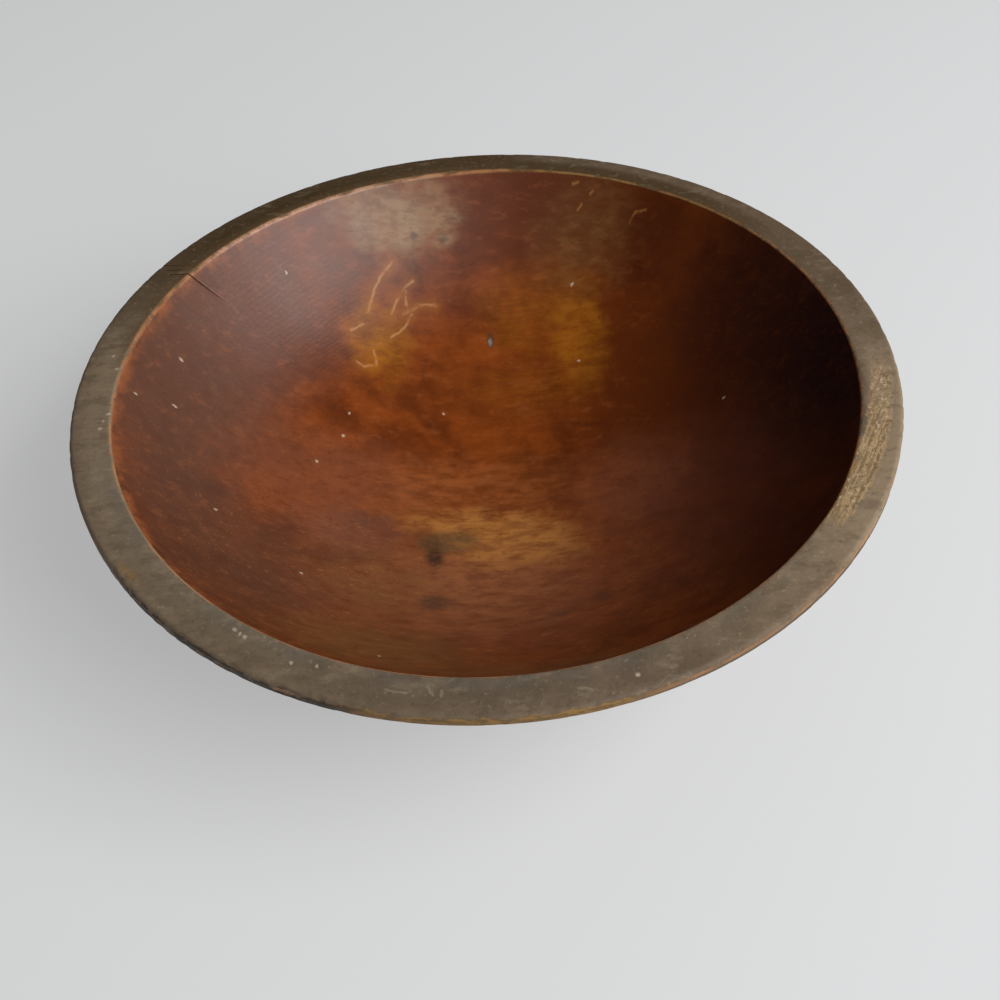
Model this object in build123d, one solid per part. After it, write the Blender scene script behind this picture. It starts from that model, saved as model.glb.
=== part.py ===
"""A round wooden dough bowl, turned on a lathe from one block of hardwood.

The bowl stands on its flat foot at z = 0, with the lathe's axis on Z and the grain along X.
The wood has shrunk across its grain since it was turned, so the plan is a little oval and the
rim stands a little higher at the two ends of the grain. All sizes are in millimetres.
"""

import os
from math import sqrt

from build123d import *

# Driving dimensions: the plan and the height
rim_length = 336.0          # outside of the rim, along the grain
rim_breadth = 326.0         # outside of the rim, across the grain
bowl_height = 95.0          # foot to the inner edge of the rim, as a mean round the rim
foot_diameter = 136.0       # the flat that it stands on, before the wood shrank

# Driving dimensions: the band on top of the rim
rim_band = 15.9             # width of the band, from the hollow to the outside
rim_fall = 1.0              # how far the band falls towards the outside
rim_lift = 3.4              # how much higher its inner edge stands at the ends of the grain

# Driving dimensions: the wall
floor_thickness = 16.0      # wood under the middle of the hollow
rim_side = 4.5              # upright side of the rim, under the band, as a mean round the rim
side_lean = 40.0            # lean of the outside below that, in degrees from upright
shoulder_radius = 3.0       # bend from the upright side into the leaning outside

# Driving dimensions: the worn edges
outer_edge_round = 2.2
inner_edge_round = 1.2
foot_edge_round = 2.5

# Wood that is turned too high and too low, and then dressed off
foot_waste = 2.0
rim_waste = rim_fall + rim_lift

# The section's radii, as the bowl left the lathe
outer_radius = (rim_length + rim_breadth) / 4
inner_radius = outer_radius - rim_band


def turned_section():
    """Half of the section through the axis, with waste above the rim and under the foot."""
    hollow_depth = bowl_height - floor_thickness
    hollow_radius = (inner_radius ** 2 + hollow_depth ** 2) / (2 * hollow_depth)
    hollow_centre = floor_thickness + hollow_radius
    top = bowl_height + rim_waste
    mouth_radius = sqrt(hollow_radius ** 2 - (hollow_centre - top) ** 2)
    shoulder = bowl_height - rim_fall - rim_side
    foot_radius = foot_diameter / 2

    hollow = TangentArc((0, floor_thickness), (mouth_radius, top), tangent=(1, 0))
    mouth = Line((mouth_radius, top), (outer_radius, top))
    upright = Line((outer_radius, top), (outer_radius, shoulder))
    bend = JernArc((outer_radius, shoulder), (0, -1), shoulder_radius, -side_lean)
    side = TangentArc(bend @ 1, (foot_radius, 0), tangent=bend % 1)
    foot = Polyline((foot_radius, 0), (foot_radius, -foot_waste), (0, -foot_waste), (0, floor_thickness))
    return make_face(Curve() + [hollow, mouth, upright, bend, side, foot])


def rim_dome():
    """A great flat dome, flatter along the grain, whose skin is the top of the rim."""
    mean_bend = rim_fall / rim_band / ((inner_radius + outer_radius) / 2)
    bend_along = mean_bend - rim_lift / inner_radius ** 2
    bend_across = mean_bend + rim_lift / inner_radius ** 2
    dome_radius = 1 / bend_across
    stretch = sqrt(bend_across / bend_along)
    fall_to_inner_edge = mean_bend * inner_radius ** 2 / 2
    dome = scale(Rot(0, 90, 0) * Sphere(dome_radius), by=(stretch, 1, 1))
    return Pos(0, 0, bowl_height + fall_to_inner_edge - dome_radius) * dome


def turned_bowl():
    """The whole bowl: turned and dressed at the rim, shrunk oval, flat at the foot, worn at its edges."""
    turned = revolve(Plane.XZ * turned_section(), Axis.Z) & rim_dome()
    turned_diameter = 2 * outer_radius
    shrunk = scale(turned, by=(rim_length / turned_diameter, rim_breadth / turned_diameter, 1))
    bowl = split(shrunk, bisect_by=Plane.XY, keep=Keep.TOP)

    band = bowl.faces().sort_by(Axis.Z)[-1]
    bowl = fillet(band.outer_wire().edges(), outer_edge_round)
    band = bowl.faces().sort_by(Axis.Z)[-1]
    bowl = fillet(band.inner_wires()[0].edges(), inner_edge_round)
    underside = bowl.faces().sort_by(Axis.Z)[0]
    return fillet(underside.edges(), foot_edge_round)


os.makedirs("parts", exist_ok=True)
export_step(turned_bowl(), "parts/turned_bowl.step")
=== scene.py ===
from functools import reduce
from itertools import pairwise
from math import asin, cos, pi, radians, sin, tan
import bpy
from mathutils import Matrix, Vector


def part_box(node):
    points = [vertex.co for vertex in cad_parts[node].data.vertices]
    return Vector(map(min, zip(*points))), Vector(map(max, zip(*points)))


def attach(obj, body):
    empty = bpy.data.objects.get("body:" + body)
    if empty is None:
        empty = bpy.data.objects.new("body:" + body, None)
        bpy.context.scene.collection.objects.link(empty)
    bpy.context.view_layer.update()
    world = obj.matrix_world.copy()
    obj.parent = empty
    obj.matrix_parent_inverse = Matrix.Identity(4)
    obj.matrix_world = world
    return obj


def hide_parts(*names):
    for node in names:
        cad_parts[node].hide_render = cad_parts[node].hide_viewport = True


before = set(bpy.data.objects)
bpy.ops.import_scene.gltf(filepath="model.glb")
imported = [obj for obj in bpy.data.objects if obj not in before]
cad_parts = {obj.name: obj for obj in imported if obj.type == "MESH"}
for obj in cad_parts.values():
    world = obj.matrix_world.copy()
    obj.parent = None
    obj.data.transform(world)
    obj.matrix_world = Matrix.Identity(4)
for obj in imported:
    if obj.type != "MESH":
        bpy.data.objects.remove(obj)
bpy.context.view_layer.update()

from types import SimpleNamespace

import bmesh
import bpy
from mathutils import Matrix, Vector

# The turned bowl
# One block of hardwood, turned on a lathe with the grain along X and hollowed with a hook tool.
# The hollow is oiled and stained red-brown by use, and the rim and the outside carry old thin paint.
# The wood has shrunk across its grain since, so the bowl is a little oval and its rim a little waved.

MM = 0.001

hair = 0.01 * MM            # kept clear of the bowl's box on each side
bowl_low, bowl_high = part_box("turned_bowl")
rim_length = bowl_high.x - bowl_low.x - 2 * hair
rim_breadth = bowl_high.y - bowl_low.y - 2 * hair
rim_lift = 3.4 * MM         # how much higher the rim stands at the ends of the grain
rim_height = bowl_high.z - rim_lift / 2
rim_band = 15.9 * MM
rim_fall = 1.0 * MM         # how far the band falls towards the outside
rim_side = 4.5 * MM         # upright side under the band
side_lean = radians(40)     # of the outside below that, from upright
shoulder_radius = 3.0 * MM
floor_thickness = 16.0 * MM
foot_radius = 68.0 * MM
outer_edge_round = 2.2 * MM
inner_edge_round = 1.2 * MM
foot_edge_round = 2.5 * MM
outer_radius = (rim_length + rim_breadth) / 4
inner_radius = outer_radius - rim_band


# The half section, from the middle of the hollow over the rim to the middle of the foot

def straight(start, end, steps):
    """Points along a straight stretch of the section, without its last point."""
    return [start.lerp(end, step / steps) for step in range(steps)]


def turned_about(centre, start, angle, steps):
    """Points along an arc of the section about a centre, without its last point."""
    turns = [Matrix.Rotation(angle * step / steps, 2) for step in range(steps)]
    return [centre + turn @ (start - centre) for turn in turns]


def rounded(corner, arriving, leaving, radius, steps):
    """Points along the arc that rounds a corner to the right, with both of its ends."""
    turn = abs(arriving.angle_signed(leaving))
    reach = radius * tan(turn / 2)
    start = corner - arriving * reach
    centre = start + Vector((arriving.y, -arriving.x)) * radius
    return turned_about(centre, start, -turn, steps) + [corner + leaving * reach]


def half_section():
    """The stretches of the half section, each a list of points (radius, height)."""
    depth = rim_height - floor_thickness
    hollow_radius = (inner_radius ** 2 + depth ** 2) / (2 * depth)
    wall_slope = asin(inner_radius / hollow_radius)
    middle = Vector((0, floor_thickness))
    hollow = turned_about(middle + Vector((0, hollow_radius)), middle, wall_slope, steps=44)

    up_the_wall = Vector((cos(wall_slope), sin(wall_slope)))
    over_the_band = Vector((rim_band, -rim_fall)).normalized()
    inner_corner = Vector((inner_radius, rim_height))
    outer_corner = Vector((outer_radius, rim_height - rim_fall))
    inner_edge = rounded(inner_corner, up_the_wall, over_the_band, inner_edge_round, steps=5)
    outer_edge = rounded(outer_corner, over_the_band, Vector((0, -1)), outer_edge_round, steps=9)
    band = straight(inner_edge[-1], outer_edge[0], steps=14)

    shoulder = outer_corner - Vector((0, rim_side))
    upright = straight(outer_edge[-1], shoulder, steps=3)
    bend_centre = shoulder - Vector((shoulder_radius, 0))
    bend = turned_about(bend_centre, shoulder, -side_lean, steps=6)
    side_start = bend_centre + Matrix.Rotation(-side_lean, 2) @ (shoulder - bend_centre)
    foot_corner = Vector((foot_radius, 0))
    inwards = Vector((-cos(side_lean), sin(side_lean)))
    chord = foot_corner - side_start
    side_radius = chord.length_squared / (2 * chord.dot(inwards))
    side_turn = 2 * asin(chord.length / (2 * side_radius))
    side = turned_about(side_start + inwards * side_radius, side_start, -side_turn, steps=22)
    side_end = Vector((-sin(side_lean + side_turn), -cos(side_lean + side_turn)))
    foot_edge = rounded(foot_corner, side_end, Vector((-1, 0)), foot_edge_round, steps=4)
    foot = straight(foot_edge[-1], Vector((0, 0)), steps=9)
    return [hollow, inner_edge, band[1:], outer_edge, upright[1:], bend, side[:-1], foot_edge, foot[1:]]


stretches = half_section()
section = sum(stretches, []) + [Vector((0, 0))]
hollow_points = stretches[0] + stretches[1][:1]
hollow_length = sum((after - before).length for before, after in pairwise(hollow_points))
section_mesh = bpy.data.meshes.new("half_section")
section_edges = list(pairwise(range(len(section))))
section_mesh.from_pydata([(point.x, 0, point.y) for point in section], section_edges, [])
along_values = [-hollow_length]
for before, after in pairwise(section):
    along_values.append(along_values[-1] + (after - before).length)
section_mesh.attributes.new("along_section", "FLOAT", "POINT").data.foreach_set("value", along_values)


# Sums on fields, for the node trees of the lathe and of the finish

class Field:
    """A number, vector or colour at each point of the wood: one output in a tree of nodes."""

    def __init__(self, socket):
        self.socket = socket

    def __add__(self, other):
        return reckon("ADD", self, other)

    def __sub__(self, other):
        return reckon("SUBTRACT", self, other)

    def __rsub__(self, other):
        return reckon("SUBTRACT", other, self)

    def __mul__(self, other):
        return reckon("MULTIPLY", self, other)

    def __truediv__(self, other):
        return reckon("DIVIDE", self, other)

    __radd__ = __add__
    __rmul__ = __mul__


def add_node(tree, kind, inputs, output=0, **settings):
    """Adds a node, sets or links its inputs by name or number, and gives one of its outputs."""
    node = tree.nodes.new(kind)
    for setting, value in settings.items():
        setattr(node, setting, value)
    for key, value in inputs.items():
        if isinstance(value, Field):
            tree.links.new(value.socket, node.inputs[key])
        else:
            node.inputs[key].default_value = value
    return Field(node.outputs[output])


def tree_of(*terms):
    """The node tree that the fields among some terms belong to."""
    return next(term.socket.id_data for term in terms if isinstance(term, Field))


def reckon(operation, *terms):
    """A sum on fields and numbers."""
    return add_node(tree_of(*terms), "ShaderNodeMath", dict(enumerate(terms)), operation=operation)


def reckon_vector(operation, *terms):
    """A sum on vector fields and vectors: a vector, or a number for a length or a dot product."""
    output = "Value" if operation in ("LENGTH", "DOT_PRODUCT") else "Vector"
    inputs = dict(enumerate(terms))
    return add_node(tree_of(*terms), "ShaderNodeVectorMath", inputs, output, operation=operation)


def split(vector):
    """The three parts of a vector field."""
    tree = tree_of(vector)
    parts = tree.nodes.new("ShaderNodeSeparateXYZ")
    tree.links.new(vector.socket, parts.inputs[0])
    return [Field(part) for part in parts.outputs]


def joined(x, y, z):
    """A vector field from its three parts."""
    return add_node(tree_of(x, y, z), "ShaderNodeCombineXYZ", {0: x, 1: y, 2: z})


def ramp(field, start, end):
    """A soft step from 0, where the field is at its start, to 1 at its end."""
    inputs = {"Value": field, "From Min": start, "From Max": end}
    return add_node(tree_of(field), "ShaderNodeMapRange", inputs, interpolation_type="SMOOTHSTEP")


def noise(place, size, detail=2.0, roughness=0.5):
    """Soft noise about 0.5, with patches of a size in the place's own unit."""
    inputs = {"Vector": place, "Scale": 1 / size, "Detail": detail, "Roughness": roughness}
    return add_node(tree_of(place), "ShaderNodeTexNoise", inputs)


chipped_bearing = -126      # where the outer edge of the rim is chipped most, in degrees from +X


def rough_patch(along, bearing):
    """1 on the patch of the rim that is worn rough, from the outer half of the band to the hollow."""
    middle = 8.3 + (bearing + 8) * 0.19
    across = ramp(reckon("ABSOLUTE", along - middle), 5.2, 3.4)
    return across * ramp(reckon("ABSOLUTE", bearing + 20), 19, 13)


# The lathe, as a tree of geometry nodes that turns the half section into the bowl

def turning_tree():
    """Turns a half section about Z, lets the wood shrink across its grain, and wears its edges."""
    tree = bpy.data.node_groups.new("turned_from_half_section", "GeometryNodeTree")
    sizes = ["Share Along Grain", "Share Across Grain", "Rim Lift", "Rim Height", "Rim Side",
             "Inner Radius", "Rim Band", "Outer Edge", "Chip Depth", "Dent Depth", "Rough Depth",
             "Tool Wave"]
    kinds = {"Half Section": "Geometry", "Steps Around": "Int", **dict.fromkeys(sizes, "Float")}
    kinds["Wood"] = "Material"
    for name, kind in kinds.items():
        tree.interface.new_socket(name, in_out="INPUT", socket_type="NodeSocket" + kind)
    tree.interface.new_socket("Bowl", in_out="OUTPUT", socket_type="NodeSocketGeometry")
    given = {socket.name: Field(socket) for socket in tree.nodes.new("NodeGroupInput").outputs}
    rows = add_node(tree, "GeometryNodeAttributeDomainSize", {0: given["Half Section"]}, "Point Count")
    columns = given["Steps Around"]
    grid_inputs = {"Vertices X": columns + 1, "Vertices Y": rows}
    sheet = add_node(tree, "GeometryNodeMeshGrid", grid_inputs, "Mesh")

    index = add_node(tree, "GeometryNodeInputIndex", {})
    column = add_node(tree, "FunctionNodeIntegerMath", {0: index, 1: rows}, operation="DIVIDE_FLOOR")
    row = add_node(tree, "FunctionNodeIntegerMath", {0: index, 1: rows}, operation="MODULO")
    place = add_node(tree, "GeometryNodeInputPosition", {})
    length = add_node(tree, "GeometryNodeInputNamedAttribute", {"Name": "along_section"}, "Attribute",
                      data_type="FLOAT")
    at_row = {"Geometry": given["Half Section"], "Index": row}
    point = add_node(tree, "GeometryNodeSampleIndex", {**at_row, "Value": place},
                     data_type="FLOAT_VECTOR")
    along = add_node(tree, "GeometryNodeSampleIndex", {**at_row, "Value": length}, data_type="FLOAT")

    radius, _, height = split(point)
    angle = column / columns * (2 * pi)
    up_the_hollow = ramp(height, given["Rim Height"] / 2, given["Rim Height"])
    down_the_side = ramp(along, given["Outer Edge"] + given["Rim Side"], given["Outer Edge"])
    waved = up_the_hollow * down_the_side * reckon("COSINE", angle * 2)
    lift = given["Rim Lift"] / 2 * waved * reckon("POWER", radius / given["Inner Radius"], 2)
    x = radius * reckon("COSINE", angle) * given["Share Along Grain"]
    y = radius * reckon("SINE", angle) * given["Share Across Grain"]
    shrunk = {"Geometry": sheet, "Position": joined(x, y, height + lift)}
    turned = add_node(tree, "GeometryNodeSetPosition", shrunk)
    measured = {"Geometry": turned, "Name": "along_section", "Value": along}
    turned = add_node(tree, "GeometryNodeStoreNamedAttribute", measured,
                      data_type="FLOAT", domain="POINT")
    turned = add_node(tree, "GeometryNodeMergeByDistance", {"Geometry": turned, "Distance": 0.01 * MM})
    turned = add_node(tree, "GeometryNodeFlipFaces", {"Mesh": turned})

    along = length
    across = split(place)
    bearing = reckon("ARCTAN2", across[1], across[0]) * (180 / pi)
    at_outer_edge = ramp(reckon("ABSOLUTE", along - given["Outer Edge"]), 5 * MM, 1.5 * MM)
    front_left = ramp(reckon("ABSOLUTE", bearing - chipped_bearing), 24, 14)
    chips = ramp(noise(place, 5 * MM, detail=3), 0.5, 0.64) * (0.35 + 0.65 * front_left)
    to_outside = ramp(along, given["Rim Band"], given["Rim Band"] - 3 * MM)
    on_band = ramp(along, 0.5 * MM, 3 * MM) * to_outside
    dents = ramp(noise(place, 7 * MM, detail=3), 0.55, 0.75)
    in_hollow = ramp(along, -1 * MM, -6 * MM)
    waves = noise(place, 42 * MM, detail=1) - 0.5
    wear = at_outer_edge * chips * given["Chip Depth"] + on_band * dents * given["Dent Depth"]
    wear = wear + in_hollow * waves * given["Tool Wave"]
    roughness = rough_patch(along / MM, bearing) * (0.3 + noise(place, 4 * MM, detail=3))
    wear = wear + roughness * given["Rough Depth"]
    outwards = add_node(tree, "GeometryNodeInputNormal", {})
    worn_off = reckon_vector("MULTIPLY", outwards, joined(wear * -1, wear * -1, wear * -1))
    worn = add_node(tree, "GeometryNodeSetPosition", {"Geometry": turned, "Offset": worn_off})
    smooth = add_node(tree, "GeometryNodeSetShadeSmooth", {"Geometry": worn})
    real = add_node(tree, "GeometryNodeRealizeInstances", {"Geometry": smooth})
    dressed = add_node(tree, "GeometryNodeSetMaterial", {"Geometry": real, "Material": given["Wood"]})
    tree.links.new(dressed.socket, tree.nodes.new("NodeGroupOutput").inputs[0])
    return tree


wood = bpy.data.materials.new("stained_and_painted_wood")
lathe_settings = {
    "Steps Around": 780,
    "Share Along Grain": rim_length / 2 / outer_radius,
    "Share Across Grain": rim_breadth / 2 / outer_radius,
    "Rim Lift": rim_lift,
    "Rim Height": rim_height,
    "Rim Side": rim_side,
    "Inner Radius": inner_radius,
    "Rim Band": rim_band,
    "Outer Edge": rim_band + 2 * MM,
    "Chip Depth": 0.5 * MM,
    "Dent Depth": 0.2 * MM,
    "Rough Depth": 0.5 * MM,
    "Tool Wave": 0.8 * MM,
    "Wood": wood,
}
blank = bpy.data.objects.new("bowl_blank", section_mesh)
bpy.context.scene.collection.objects.link(blank)
lathe = blank.modifiers.new("lathe", "NODES")
lathe.node_group = turning_tree()
for item in lathe.node_group.interface.items_tree:
    if item.name in lathe_settings:
        lathe[item.identifier] = lathe_settings[item.name]
turned = bpy.data.meshes.new_from_object(blank.evaluated_get(bpy.context.evaluated_depsgraph_get()))
blank.modifiers.remove(lathe)
bpy.data.objects.remove(blank)


# The drying check and the other cuts in the wood

cuts = [
    SimpleNamespace(start=Vector((-139, 76)), end=Vector((-115, 74.4)), half_width=0.4, depth=1.0),
    SimpleNamespace(start=Vector((-146, 84)), end=Vector((-133.5, 82.5)), half_width=0.5, depth=1.2),
    SimpleNamespace(start=Vector((-141, 79.5)), end=Vector((-132, 79)), half_width=0.4, depth=0.9),
]


def share_and_gap(point, cut):
    """The share of a cut's length at which a point of the plan lies, and its gap to the cut, in mm."""
    line = cut.end - cut.start
    share = max(0.0, min(1.0, (point - cut.start).dot(line) / line.length_squared))
    return share, (point - cut.start - line * share).length


def nearest_cut(point):
    """How far the nearest cut is from a point of the plan, in mm."""
    return min(share_and_gap(point, cut)[1] for cut in cuts)


def plan_of(point):
    """A point of the bowl in plan, in mm."""
    return Vector((point.x, point.y)) / MM


shell = bmesh.new()
shell.from_mesh(turned)
bmesh.ops.recalc_face_normals(shell, faces=shell.faces)
groove = shell.verts.layers.float.new("groove")
finer_steps = 4
cut_margin = 3.0
above = [face for face in shell.faces if face.normal.z > 0.1]
touched = [face for face in above if nearest_cut(plan_of(face.calc_center_median())) < cut_margin]
edges = list({edge for face in touched for edge in face.edges})
bmesh.ops.subdivide_edges(shell, edges=edges, cuts=finer_steps, use_grid_fill=True)
shell.normal_update()
for vertex in shell.verts:
    if vertex.normal.z < 0.1:
        continue
    for cut in cuts:
        share, gap = share_and_gap(plan_of(vertex.co), cut)
        opening = max(0.0, 1 - gap / cut.half_width) * (1 - share)
        if opening > vertex[groove]:
            vertex.co -= vertex.normal * (opening - vertex[groove]) * cut.depth * MM
            vertex[groove] = opening
bmesh.ops.recalc_face_normals(shell, faces=shell.faces)
shell.to_mesh(turned)
shell.free()
turned.name = "turned_bowl_wood"
bowl = bpy.data.objects.new("turned_bowl_wood", turned)
bpy.context.scene.collection.objects.link(bowl)


# The finish: stained wood in the hollow, with painted shade on its right side and painted sheen at its
# back left, thin old paint on the rim and the outside

deep_stain = (0.1, 0.02, 0.003)
warm_stain = (0.22, 0.047, 0.006)
orange_stain = (0.33, 0.095, 0.025)
front_stain = (0.21, 0.066, 0.031)
tan_stain = (0.33, 0.115, 0.042)
dull_stain = (0.105, 0.044, 0.025)
dark_stain = (0.07, 0.035, 0.022)
black_stain_and_shade = (0.024, 0.006, 0.004)
olive_stain = (0.16, 0.072, 0.023)
rose_stain = (0.2, 0.078, 0.046)
maroon_stain_and_shade = (0.1, 0.027, 0.016)
ochre_wood = (0.36, 0.125, 0.006)
gold_wood = (0.45, 0.18, 0.042)
painted_sheen_haze = (0.31, 0.2, 0.105)
pale_wood = (0.5, 0.21, 0.055)
peach_wood = (0.62, 0.33, 0.15)
chalk = (0.62, 0.5, 0.36)
soot = (0.035, 0.026, 0.02)
knot_brown = (0.13, 0.066, 0.026)
knot_black_and_crack_shade = (0.026, 0.017, 0.01)
blue_grey = (0.22, 0.26, 0.24)


def zone(colour, centre, size, share, turn=0.0, soft=0.8, fibres=0.0, broken=0.0):
    """A patch of the hollow in another colour: an oval of the plan, in mm and degrees.

    Its border is soft, and it may be broken into streaks along the fibres, or into blotches.
    """
    shape = (centre, size, turn, soft)
    return SimpleNamespace(colour=colour, oval=shape, share=share, fibres=fibres, broken=broken)


hollow_patches = [
    zone(dull_stain, (-135, 30), (56, 100), 0.85, turn=-12),
    zone(dull_stain, (-95, -58), (70, 55), 0.6, turn=-30),
    zone(dark_stain, (-98, -88), (52, 46), 0.5, turn=-40),
    # From here to the maroon patches: the right wall and the back right, much darker, partly a darker
    # stain and partly painted shade where the right rim shades the hollow from the light.
    zone(deep_stain, (58, 130), (105, 38), 0.95, turn=-10),
    zone(deep_stain, (88, 45), (66, 72), 0.95),
    zone(black_stain_and_shade, (124, 74), (52, 56), 0.5),
    zone(black_stain_and_shade, (110, -87), (50, 50), 0.55),
    zone(black_stain_and_shade, (152, 0), (96, 145), 1.0, turn=8, soft=0.9),
    zone(black_stain_and_shade, (84, 106), (26, 26), 0.5),
    zone(maroon_stain_and_shade, (92, -28), (58, 62), 0.6),
    zone(maroon_stain_and_shade, (88, -76), (48, 44), 0.4),
    zone(dark_stain, (-124, -32), (30, 46), 0.45),
    zone(deep_stain, (2, 131), (24, 18), 0.55),
    zone(deep_stain, (66, 62), (30, 30), 0.4),
    zone(deep_stain, (-95, 80), (46, 36), 0.7, turn=40),
    zone(deep_stain, (5, 60), (60, 24), 0.35),
    zone(front_stain, (-72, 5), (62, 42), 0.6),
    zone(orange_stain, (-10, 4), (70, 30), 0.65, broken=0.4),
    zone(front_stain, (-5, -70), (98, 72), 0.65),
    zone(front_stain, (62, -5), (40, 40), 0.5),
    zone(tan_stain, (-5, -55), (58, 54), 0.75, broken=0.5),
    zone(ochre_wood, (46, 82), (19, 37), 0.55, turn=6, broken=0.4),
    zone(ochre_wood, (20, 96), (30, 26), 0.3, fibres=0.5),
    zone(ochre_wood, (22, 60), (44, 16), 0.2, fibres=0.7),
    zone(olive_stain, (52, 119), (34, 32), 0.65, broken=0.4),
    zone(olive_stain, (-45, -112), (55, 34), 0.85, turn=-15, broken=0.3),
    zone(olive_stain, (12, -136), (66, 18), 0.55, broken=0.4),
    zone(rose_stain, (-62, -26), (36, 22), 0.5),
    zone(olive_stain, (-48, -58), (38, 36), 0.6, broken=0.5),
    zone(ochre_wood, (-50, 82), (20, 27), 0.65, turn=-8, broken=0.35),
    zone(gold_wood, (-6, -17), (52, 15), 0.8, turn=-4, broken=0.5),
    zone(gold_wood, (8, -28), (46, 23), 0.95, turn=-8, broken=0.5),
    zone(dull_stain, (-57, -19), (12, 11), 0.6),
    # Three pale patches on the back left wall: painted sheen, where the wall reflects the light from the
    # right.
    zone(painted_sheen_haze, (-40, 131), (42, 20), 0.75, turn=12, broken=0.3),
    zone(painted_sheen_haze, (-17, 132), (9, 15), 0.5, turn=5, soft=0.8, broken=0.6),
    zone(painted_sheen_haze, (-34, 129), (6, 11), 0.5, soft=0.8, broken=0.5),
]
stain_spots = [
    zone(knot_brown, (-20, -26.5), (18, 10), 0.85, turn=6, soft=0.6),
    zone(knot_black_and_crack_shade, (-28, -28), (7, 9), 0.4, soft=0.8),
    zone(knot_black_and_crack_shade, (-26, -37.5), (6, 9), 0.85, soft=0.8),
    zone(gold_wood, (-14, -28), (7, 3), 0.4, turn=-20, soft=0.95),
    zone(soot, (-25, -69), (11, 8), 0.6),
    zone(soot, (43, -76), (7, 6), 0.4),
    zone(soot, (25, -83), (7, 4), 0.4),
    zone(soot, (3.6, 85), (2.6, 6), 0.65),
    zone(blue_grey, (3.5, 84), (1.3, 2.4), 0.7),
    zone(soot, (-21, 101.5), (2, 1.5), 0.6),
    zone(soot, (-31, 126), (3, 2), 0.5),
    zone(soot, (-17, 126), (4, 2), 0.55),
    zone(deep_stain, (48, 35), (26, 1.8), 0.8, turn=-17, soft=0.9),
]
scratches = [
    [(-42.4, 114.8), (-48.9, 108), (-53.1, 100.3), (-55.3, 93)],
    [(-32.5, 109.3), (-35.7, 107.7), (-39.9, 101), (-44, 94.5)],
    [(-35.9, 105.1), (-36.1, 98.7)],
    [(-22.3, 99.8), (-26.5, 100.3), (-30.9, 99.2), (-38.7, 95.2)],
    [(-34.3, 95.7), (-38.5, 89), (-44.4, 84.3)],
    [(-63.1, 84.3), (-57.4, 87.9)],
    [(-49.3, 80.6), (-54, 79.2), (-52.1, 74), (-51.7, 69.8), (-57.6, 68.3), (-61, 70.3)],
    [(49.6, 127.9), (51.4, 129.3)],
    [(56.3, 131.7), (57.2, 132.2)],
    [(47.5, 137), (50.5, 136.5)],
    [(73.7, 116.2), (76.6, 118.3), (81.2, 116.7)],
    [(17.3, -99.3), (20.5, -98.5)],
]
specks = [
    (-91.3, 98.2), (-145.6, 6.3), (-133.5, 12.5), (-132.6, 37.2), (-64.7, 43.6),
    (-67.3, 31.1), (-20.9, 49.3), (-78.1, 13.3), (-113.6, -35.2), (-79, -60),
    (-43.4, -119.6), (106.6, 21.8), (45.4, 68.4), (44.7, 102.2),
]


def mixed(share, colour, other):
    """A colour, with a share of another one in it."""
    first, second, result = 6, 7, 2     # the colour sockets of a Mix node go by number
    inputs = {0: share}
    for key, tint in ((first, colour), (second, other)):
        inputs[key] = tint if isinstance(tint, Field) else (*tint, 1)
    return add_node(tree_of(share), "ShaderNodeMix", inputs, result, data_type="RGBA")


def oval(plan, centre, size, turn=0.0, soft=0.8):
    """1 in the middle of an oval of the plan, falling softly to 0 at its border."""
    from_centre = reckon_vector("SUBTRACT", plan, (*centre, 0))
    forward = Vector((cos(radians(turn)), sin(radians(turn)), 0))
    sideways = Vector((-forward.y, forward.x, 0))
    share_forward = reckon_vector("DOT_PRODUCT", from_centre, forward / size[0])
    share_sideways = reckon_vector("DOT_PRODUCT", from_centre, sideways / size[1])
    return ramp(reckon_vector("LENGTH", joined(share_forward, share_sideways, 0.0)), 1.0, 1.0 - soft)


def gap_to_stroke(plan, start, end):
    """How far a straight stroke between two points of the plan is."""
    line = Vector(end) - Vector(start)
    from_start = reckon_vector("SUBTRACT", plan, (*start, 0))
    share = reckon_vector("DOT_PRODUCT", from_start, (*(line / line.length_squared), 0))
    share = add_node(tree_of(plan), "ShaderNodeClamp", {0: share})
    reached = reckon_vector("MULTIPLY", joined(share, share, 0.0), (*line, 0))
    return reckon_vector("LENGTH", reckon_vector("SUBTRACT", from_start, reached))


def nearest_of(gaps):
    """The smallest of some fields."""
    return reduce(lambda gap, other: reckon("MINIMUM", gap, other), gaps)


def gap_to_spots(plan, spots):
    """How far the nearest of some points of the plan is."""
    from_spots = [reckon_vector("SUBTRACT", plan, (*spot, 0)) for spot in spots]
    return nearest_of([reckon_vector("LENGTH", from_spot) for from_spot in from_spots])


def strayed(plan, point, size, reach):
    """The plan, with each place led astray by up to a reach, so that what is drawn there is ragged."""
    inputs = {"Vector": point, "Scale": 1 / size, "Detail": 2, "Roughness": 0.65}
    aside = add_node(tree_of(point), "ShaderNodeTexNoise", inputs, "Color")
    aside = reckon_vector("SUBTRACT", aside, (0.5, 0.5, 0.5))
    return reckon_vector("ADD", plan, reckon_vector("MULTIPLY", aside, (2 * reach, 2 * reach, 0)))


def fine_lines(point, turn, size):
    """Noise drawn out twelve times along one direction of the plan."""
    inputs = {"Vector": point, "Rotation": (0, 0, radians(turn)), "Scale": (12, 1, 1)}
    drawn_out = add_node(tree_of(point), "ShaderNodeMapping", inputs, vector_type="TEXTURE")
    return noise(drawn_out, size, detail=2)


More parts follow.
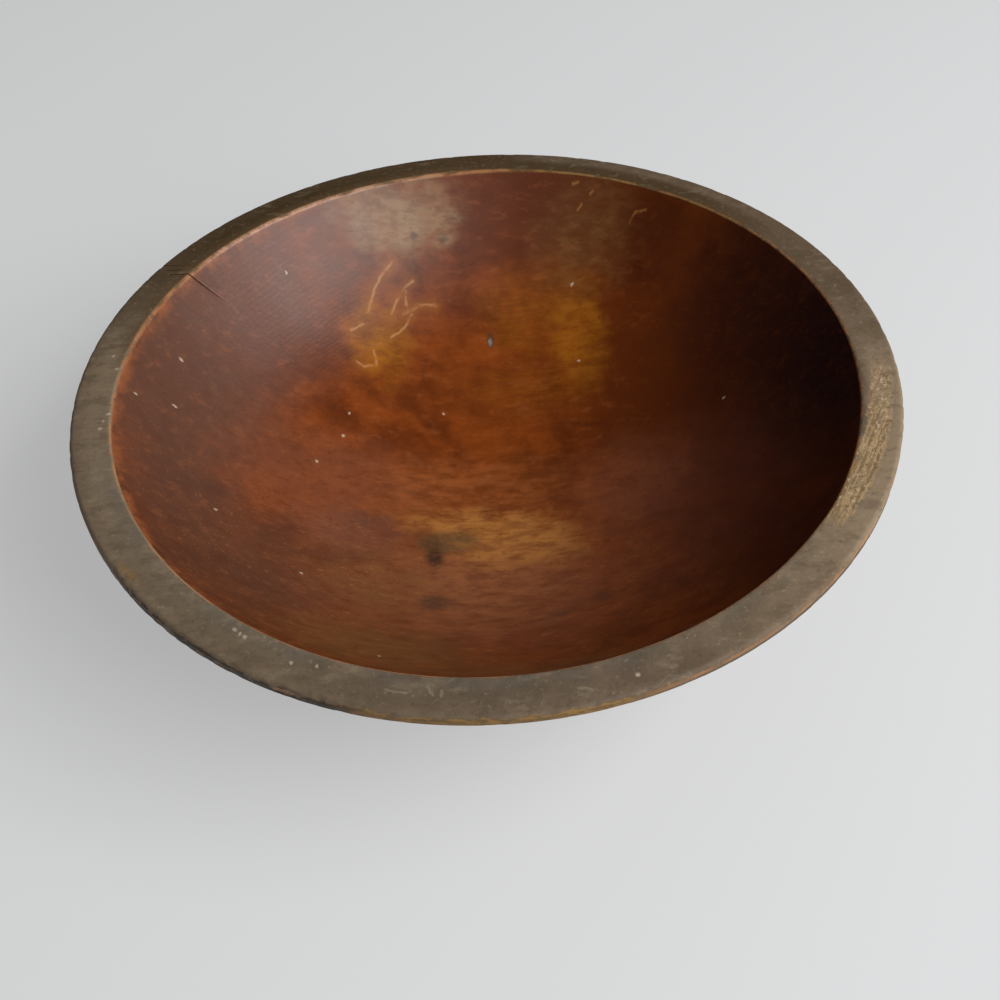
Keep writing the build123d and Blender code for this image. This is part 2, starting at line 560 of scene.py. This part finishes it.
def measured_wood(tree):
    """The fields that the finish is painted by: places in mm, and noise that follows the wood."""
    place = add_node(tree, "ShaderNodeTexCoord", {}, "Object")
    point = reckon_vector("DIVIDE", place, (MM, MM, MM))
    plan = reckon_vector("MULTIPLY", point, (1, 1, 0))
    x, y, z = split(point)
    radius = reckon_vector("LENGTH", plan)
    ring_pitch = 1.7
    ring_place = radius + noise(point, 22, detail=1) * 2.5
    return SimpleNamespace(
        point=point, x=x, y=y, height=z, radius=radius,
        along=add_node(tree, "ShaderNodeAttribute", {}, "Fac", attribute_name="along_section") / MM,
        groove=add_node(tree, "ShaderNodeAttribute", {}, "Fac", attribute_name="groove"),
        bearing=reckon("ARCTAN2", y, x) * (180 / pi),
        ragged_plan=strayed(plan, point, 12, 11),
        shaky_plan=strayed(plan, point, 3, 1.2),
        swayed_plan=strayed(plan, point, 10, 1.6),
        clouds=noise(point, 48, detail=3, roughness=0.6),
        mottle=noise(point, 13, detail=4, roughness=0.62),
        blotches=noise(reckon_vector("MULTIPLY", point, (0.45, 1, 1)), 5, detail=4, roughness=0.65),
        flecks=noise(point, 1.9, detail=2, roughness=0.6),
        dashes=noise(reckon_vector("MULTIPLY", point, (0.25, 1, 1)), 1.1, detail=2),
        fibres=noise(reckon_vector("MULTIPLY", point, (0.1, 1, 1)), 1.9, detail=3, roughness=0.6),
        turning=reckon("SINE", ring_place * (2 * pi / ring_pitch)),
        hatched=oval(plan, (-52, -52), (46, 46)) + oval(plan, (-85, 88), (55, 40)))


def hollow_colour(at):
    """Red-brown stain in clouds, worn to the wood in places, with scratches and specks, painted shade on
    the right wall and painted sheen on the back left wall.
    """
    colour = mixed(ramp(at.clouds * 0.5 + at.mottle * 0.5, 0.36, 0.64), deep_stain, warm_stain)
    streaky = ramp(at.fibres, 0.4, 0.6)
    blotchy = ramp(at.blotches, 0.56, 0.42)
    for spot in hollow_patches:
        share = oval(at.ragged_plan, *spot.oval) * spot.share
        if spot.fibres:
            share = share * (1 - spot.fibres + spot.fibres * streaky)
        if spot.broken:
            share = share * (1 - spot.broken + spot.broken * blotchy)
        colour = mixed(share, colour, spot.colour)
    amber = ramp(at.along, -7, -1) * ramp(at.x, -60, -125)
    colour = mixed(amber * ramp(at.mottle, 0.35, 0.6) * 0.7, colour, orange_stain)
    colour = mixed(ramp(at.blotches, 0.5, 0.7) * 0.35, colour, deep_stain)
    left = ramp(at.x, 110, 40)
    colour = mixed(ramp(at.blotches, 0.47, 0.3) * left * 0.25, colour, orange_stain)
    colour = mixed(ramp(at.fibres, 0.54, 0.72) * 0.3, colour, deep_stain)
    front = ramp(at.y, 20, -60) * left
    dashed = ramp(at.dashes, 0.6, 0.7) * ramp(at.mottle, 0.4, 0.6)
    colour = mixed(dashed * (0.04 + front * 0.22), colour, pale_wood)
    colour = mixed(ramp(at.flecks, 0.62, 0.74) * 0.4, colour, deep_stain)
    rings = ramp(at.turning, 0.0, 1.0) * at.hatched * ramp(at.flecks, 0.4, 0.6)
    colour = mixed(rings * 0.09, colour, pale_wood)
    whole = ramp(at.flecks, 0.85, 0.48)
    for spot in stain_spots:
        colour = mixed(oval(at.shaky_plan, *spot.oval) * spot.share * whole, colour, spot.colour)
    strokes = [stroke for points in scratches for stroke in pairwise(points)]
    scratch_gap = nearest_of([gap_to_stroke(at.swayed_plan, *stroke) for stroke in strokes])
    at_left = ramp(at.x, 20, -10)
    colour = mixed(ramp(scratch_gap, 4.5, 0.0) * at_left * 0.3, colour, ochre_wood)
    scratched = ramp(scratch_gap, 1.0, -0.3) * ramp(at.blotches, 0.33, 0.58)
    colour = mixed(scratched * 0.55, colour, mixed(at_left, pale_wood, peach_wood))
    return mixed(ramp(gap_to_spots(at.shaky_plan, specks), 1.0, 0.3) * 0.6, colour, chalk)


rim_paint = (0.155, 0.109, 0.07)
light_paint = (0.25, 0.183, 0.118)
rim_grime = (0.098, 0.065, 0.038)
cool_grime = (0.085, 0.085, 0.07)
dark_brown_tone = (0.068, 0.039, 0.016)
back_shade = (0.048, 0.027, 0.008)
rim_scuff = (0.36, 0.29, 0.19)
worn_tan = (0.37, 0.25, 0.13)
worn_brown = (0.12, 0.068, 0.03)
worn_gold = (0.26, 0.145, 0.04)
bare_edge = (0.46, 0.2, 0.08)
pale_edge = (0.6, 0.36, 0.24)

rim_flecks = [
    (-155.4, 21.7), (-152.5, 13.3), (-153.2, -17.3), (-153.5, -21.6), (-151.9, -13.6), (-90.8, -122.5),
    (-88.9, -124.3), (-87, -125.6), (-70.3, -137), (-61.5, -139), (46.2, -149.5),
]
rim_scratches = [
    ((-23.8, -149.3), (-22.3, -152.7)),
    ((-18.8, -151.3), (-19.6, -154.1)),
    ((-38, -149.8), (-30.5, -151.4)),
    ((26.1, -153.2), (30.7, -154.1)),
]


def rim_colour(at):
    """Thin taupe paint on the band, dirty and scuffed, with a patch that is worn rough."""
    colour = mixed(ramp(at.mottle, 0.35, 0.68) * 0.7, rim_paint, rim_grime)
    colour = mixed(ramp(at.x, 10, -150) * ramp(at.y, 75, 5) * 0.7, colour, light_paint)
    colour = mixed(ramp(at.x, 80, 160) * ramp(at.y, 10, 60) * 0.6, colour, rim_grime)
    right = ramp(at.x, 110, 140) * ramp(at.y, 20, -20) * ramp(at.along, 1, 7)
    colour = mixed(right * 0.9, colour, light_paint)
    colour = mixed(ramp(at.x, 60, 110) * ramp(at.y, -70, -100) * 0.4, colour, light_paint)
    # Towards the back the band is darker, and at the back left darker still.
    spared = ramp(at.along, 6, 11) * ramp(at.x, 10, 40)
    colour = mixed(ramp(at.y, 20, 110) * ramp(at.x, 160, 100) * (1 - spared) * 0.9, colour, dark_brown_tone)
    colour = mixed(ramp(at.x, -20, -90) * ramp(at.y, 75, 110) * 0.5, colour, back_shade)
    handled = ramp(at.along, 7, 1) * ramp(at.y, 0, 30) * ramp(at.x, 20, -20)
    colour = mixed(handled * 0.6, colour, worn_brown)
    kneaded = ramp(reckon("ABSOLUTE", at.along - 8), 6, 2) * ramp(at.y, -40, -110) * ramp(at.x, 85, 50)
    colour = mixed(kneaded * 0.35, colour, rim_grime)
    damp = ramp(at.along, 9, 2) * ramp(at.mottle, 0.4, 0.6) * ramp(at.y, 0, -60)
    colour = mixed(damp * 0.4, colour, cool_grime)
    drift = (at.mottle - 0.5) * 8
    colour = mixed(ramp(at.along + drift, 7, 14) * ramp(at.x, 20, -70) * 0.35, colour, rim_grime)
    colour = mixed(ramp(at.blotches, 0.48, 0.66) * 0.45, colour, rim_grime)
    hairlines = ramp(fine_lines(at.point, 35, 0.8), 0.62, 0.8) * ramp(at.mottle, 0.4, 0.6)
    scuffs = hairlines * 0.7 + ramp(at.flecks, 0.6, 0.76) + ramp(at.blotches, 0.44, 0.3) * 0.6
    colour = mixed(scuffs * 0.3, colour, rim_scuff)
    colour = mixed(ramp(at.flecks, 0.4, 0.27) * 0.28, colour, soot)
    ochre_mark = oval(at.shaky_plan, (-132, -95), (9, 2.6), -50) * ramp(at.flecks, 0.4, 0.55)
    colour = mixed(ochre_mark * 0.6, colour, worn_gold)
    strokes = nearest_of([gap_to_stroke(at.shaky_plan, *stroke) for stroke in rim_scratches])
    colour = mixed(ramp(strokes, 0.7, 0.0) * 0.35, colour, rim_scuff)
    colour = mixed(ramp(gap_to_spots(at.shaky_plan, rim_flecks), 1.1, 0.2) * 0.55, colour, chalk)

    low = ramp(at.bearing, -4, -24)
    lines = at.dashes + (fine_lines(at.point, 66, 1.3) - at.dashes) * low
    bare = mixed(ramp(fine_lines(at.point, 60, 0.9), 0.44, 0.58) * 0.7, worn_tan, worn_brown)
    ragged_along = at.along + (at.blotches - 0.5) * 7 + (at.flecks - 0.5) * 3
    patch = rough_patch(ragged_along, at.bearing + drift)
    worn_through = lines * 0.5 + at.flecks * 0.25 + at.blotches * 0.25 + low * 0.13
    colour = mixed(patch * 0.35, colour, worn_tan)
    colour = mixed(patch * ramp(worn_through, 0.5, 0.6) * 0.75, colour, bare)
    colour = mixed(patch * ramp(at.flecks, 0.44, 0.3) * 0.6, colour, worn_brown)
    return mixed(patch * ramp(at.flecks, 0.58, 0.72) * 0.5, colour, chalk)


def edge_wear(at, colour):
    """The wood that shows at the rim's edges: chipped and golden outside, and at the hollow a pale line,
    partly burnished wood and partly a painted highlight.
    """
    wavy = (at.mottle - 0.5) * 4 + (at.flecks - 0.5) * 1.5
    below_edge = ramp(at.along + wavy, 22.4, 21.2)
    front = ramp(reckon("ABSOLUTE", at.bearing + 90), 24, 12)
    gold = mixed(ramp(at.dashes, 0.42, 0.62) * 0.8, worn_gold, worn_brown)
    colour = mixed(ramp(at.along + wavy, 15.8, 16.5) * below_edge * front * 0.9, colour, gold)
    rubbed = ramp(at.along + wavy * 0.5, 16.6, 17.4) * ramp(at.along, 19.3, 18.1) * (1 - front)
    colour = mixed(rubbed * ramp(at.mottle, 0.35, 0.6) * 0.45, colour, bare_edge)
    front_left = ramp(reckon("ABSOLUTE", at.bearing - chipped_bearing), 22, 15)
    notched = front_left * ramp(at.along + wavy, 16.0, 16.8) * below_edge * ramp(at.blotches, 0.44, 0.5)
    colour = mixed(notched * 0.85, colour, soot)
    # Along the inner edge a pale line: partly bare burnished wood, partly a painted highlight where the
    # rounded edge catches the light, widest at the back left.
    back_left = ramp(at.y - at.x, 85, 170)
    from_edge = reckon("ABSOLUTE", at.along - 0.2 + back_left * 0.6 + wavy * 0.2)
    burnish_and_highlight = ramp(from_edge / (1 + back_left * 0.7), 0.9, 0.1)
    back = ramp(at.y, 60, 110)
    edge_wood_and_highlight = mixed(back * ramp(at.x, 0, -50) * 0.7, bare_edge, pale_edge)
    edge_wood_and_highlight = mixed(back * ramp(at.x, -10, 40) * 0.7, edge_wood_and_highlight, worn_gold)
    left_end = ramp(at.x, -115, -140) * ramp(at.mottle, 0.3, 0.6)
    return mixed(burnish_and_highlight * ramp(at.blotches, 0.32, 0.6) * (0.85 - left_end * 0.5), colour, edge_wood_and_highlight)


outside_paint = (0.12, 0.088, 0.056)
dry_wood = (0.3, 0.17, 0.08)


def outside_colour(at):
    """The same paint on the outside, streaked by the tool, and worn to dry wood, also under the foot."""
    colour = mixed(ramp(at.clouds * 0.5 + at.mottle * 0.5, 0.38, 0.64), outside_paint, rim_grime)
    colour = mixed(ramp(at.turning, 0.2, 1.0) * 0.15, colour, dark_brown_tone)
    worn = ramp(at.clouds * 0.45 + at.blotches * 0.35 + at.flecks * 0.2, 0.53, 0.64)
    colour = mixed(worn * 0.55, colour, dry_wood)
    foot = ramp(at.height + (at.mottle - 0.5) * 10, 5.0, 1.5)
    return mixed(foot, colour, mixed(ramp(at.fibres, 0.35, 0.75) * 0.7, dry_wood, outside_paint))


def dress(material):
    """Joins the three finishes along the section, with their gloss and their relief."""
    material.use_nodes = True
    tree = material.node_tree
    shader = tree.nodes["Principled BSDF"]
    at = measured_wood(tree)
    ragged_along = at.along + (at.mottle - 0.5) * 1.2
    on_rim = ramp(ragged_along, -0.7, -0.2)
    on_outside = ramp(ragged_along, 17.5, 19.5)
    colour = mixed(on_outside, mixed(on_rim, hollow_colour(at), rim_colour(at)), outside_colour(at))
    colour = edge_wear(at, colour)
    # Along the check's groove the colour goes near-black: partly dirt in the crack, partly painted shade
    # for a gap deeper than the cut.
    in_groove = ramp(at.groove, 0.03, 0.25)
    colour = mixed(in_groove * 0.85, colour, knot_black_and_crack_shade)
    tree.links.new(colour.socket, shader.inputs["Base Color"])
    to_back_left = at.x * -0.75 + at.y * 0.65
    on_wall = ramp(at.radius, 80, 125) * (1 - on_rim) * (1 - in_groove)
    polish = ramp(to_back_left, 10, 95) * on_wall
    gloss = 0.06 + polish * 0.4 + ramp(at.y, 20, -60) * ramp(at.x, 110, 40) * 0.2
    tree.links.new(gloss.socket, shader.inputs["Specular IOR Level"])
    roughness = 0.4 + at.mottle * 0.1 + on_rim * 0.15
    tree.links.new(roughness.socket, shader.inputs["Roughness"])
    on_paint = ramp(at.along, -0.7, -0.2)
    relief = at.fibres * 0.05 + at.turning * at.hatched * 0.003 + at.flecks * (0.03 + on_paint * 0.06)
    relief = relief + at.blotches * (0.09 + on_paint * 0.1)
    relief = relief + rough_patch(at.along, at.bearing) * at.flecks * 0.5
    bump_inputs = {"Strength": 1.0, "Distance": MM, "Height": relief}
    bump = add_node(tree, "ShaderNodeBump", bump_inputs, "Normal")
    tree.links.new(bump.socket, shader.inputs["Normal"])


dress(wood)
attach(bowl, "root")
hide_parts("turned_bowl")


# The floor
# A plain pale matt sheet that the bowl stands on, much wider than the view.
# The camera and reflections see it in a darker tone with an even glow, so that its shadow is soft.

floor_half = 3.0
floor_tone = (0.7, 0.71, 0.72)
floor_tone_seen = (0.33, 0.335, 0.34)
floor_glow_seen = 0.39
floor_mesh = bpy.data.meshes.new("pale_floor")
floor_corners = [(x * floor_half, y * floor_half, 0) for x, y in ((-1, -1), (1, -1), (1, 1), (-1, 1))]
floor_mesh.from_pydata(floor_corners, [], [(0, 1, 2, 3)])
floor = bpy.data.objects.new("pale_floor", floor_mesh)
bpy.context.scene.collection.objects.link(floor)
floor_paint = bpy.data.materials.new("pale_floor_paint")
floor_paint.use_nodes = True
floor_shader = floor_paint.node_tree.nodes["Principled BSDF"]
floor_shader.inputs["Roughness"].default_value = 0.6
floor_shader.inputs["Specular IOR Level"].default_value = 0
floor_shader.inputs["Emission Color"].default_value = (1, 1, 1, 1)
rays = floor_paint.node_tree.nodes.new("ShaderNodeLightPath").outputs
seen = Field(rays["Is Camera Ray"]) + Field(rays["Is Glossy Ray"])
floor_colour = mixed(seen, floor_tone, floor_tone_seen)
floor_paint.node_tree.links.new(floor_colour.socket, floor_shader.inputs["Base Color"])
floor_paint.node_tree.links.new((seen * floor_glow_seen).socket, floor_shader.inputs["Emission Strength"])
floor_mesh.materials.append(floor_paint)


# The light
# A large soft window of light from the right and the front, with dim and even light from all round.
# The camera sees what is all round as a pale backdrop.

window_place = (1.18, -0.63, 1.17)
window_power = 39
bowl_middle = (0, 0, 0.05)
light_all_round = (0.15, 0.153, 0.157)
backdrop_gain = 3.6


def soft_light(name, place, aim, width, height, power):
    """An oblong lamp that faces a point."""
    lamp = bpy.data.lights.new(name, "AREA")
    lamp.shape = "RECTANGLE"
    lamp.size = width
    lamp.size_y = height
    lamp.energy = power
    light = bpy.data.objects.new(name, lamp)
    light.location = place
    light.rotation_euler = (Vector(aim) - Vector(place)).to_track_quat("-Z", "Y").to_euler()
    bpy.context.scene.collection.objects.link(light)


soft_light("window_light", window_place, bowl_middle, width=1.5, height=1.2, power=window_power)
world = bpy.data.worlds.new("dim_all_round")
world.use_nodes = True
backdrop = world.node_tree.nodes["Background"]
backdrop.inputs["Color"].default_value = (*light_all_round, 1)
world_rays = world.node_tree.nodes.new("ShaderNodeLightPath").outputs
seen_backdrop = Field(world_rays["Is Camera Ray"]) * backdrop_gain + 1
world.node_tree.links.new(seen_backdrop.socket, backdrop.inputs["Strength"])
bpy.context.scene.world = world
bpy.context.scene.view_settings.view_transform = "Standard"


# The camera
# It looks down at the bowl from the front, turned a little about its own axis.

camera_place = (0.0037, -0.3822, 0.4481)
looking_down = 0.8473       # in radians, from level
roll = -0.0573
camera_data = bpy.data.cameras.new("camera")
camera_data.sensor_width = 36
camera_data.lens = 45.38
camera = bpy.data.objects.new("camera", camera_data)
camera.location = camera_place
turn = Matrix.Rotation(pi / 2 - looking_down, 3, "X") @ Matrix.Rotation(roll, 3, "Z")
camera.rotation_euler = turn.to_euler()
bpy.context.scene.collection.objects.link(camera)
bpy.context.scene.camera = camera
